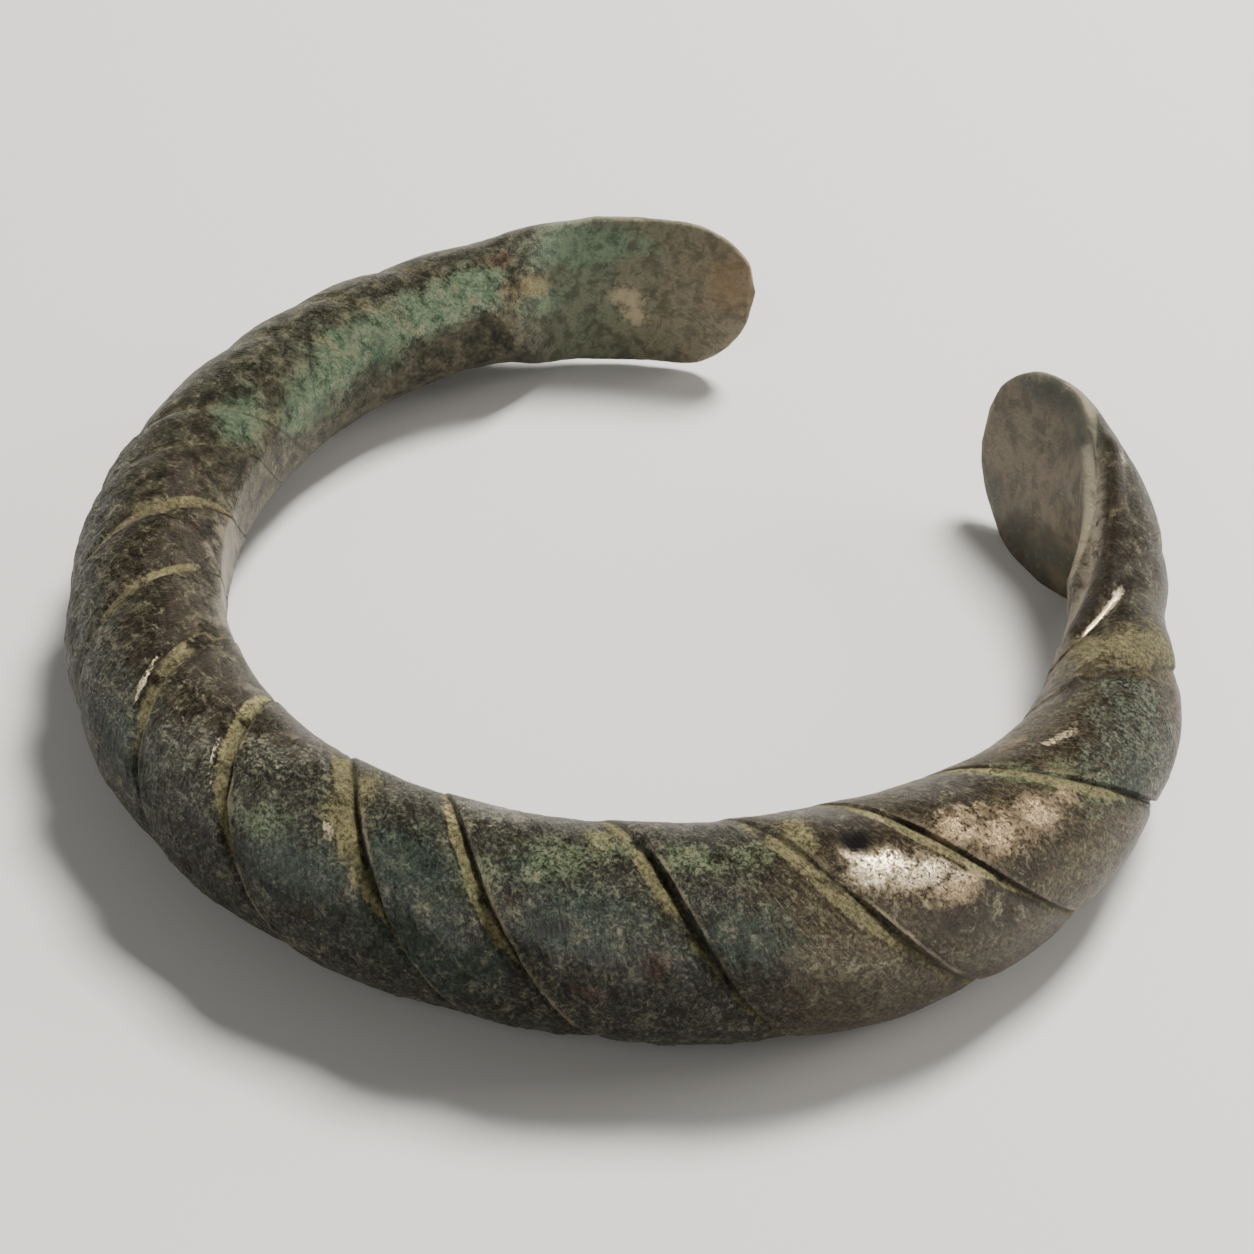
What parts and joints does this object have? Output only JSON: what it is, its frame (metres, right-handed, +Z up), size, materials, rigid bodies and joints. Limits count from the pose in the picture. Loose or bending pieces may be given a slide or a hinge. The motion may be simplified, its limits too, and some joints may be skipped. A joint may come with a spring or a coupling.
{
  "type": "twisted bangle",
  "caption": "Open bangle of thick twisted copper alloy bar with spiral ridges, tapering to two thin upright paddle terminals that face each other across a gap.",
  "frame": {"origin": "under the middle of the ring's outer bounds, on the surface that the ring lies on", "axes": "+Z up from that surface, +Y towards the gap between the two paddles, +X across the ring"},
  "size_m": [0.074, 0.0646, 0.0132],
  "materials": {
    "patinated_copper_alloy": "dark olive brown corroded copper alloy with grey-green crust, tan soil in the seams and a few rubbed bright places"
  },
  "bodies": {
    "root": {"twisted_bangle": "patinated_copper_alloy"}
  },
  "joints": []
}
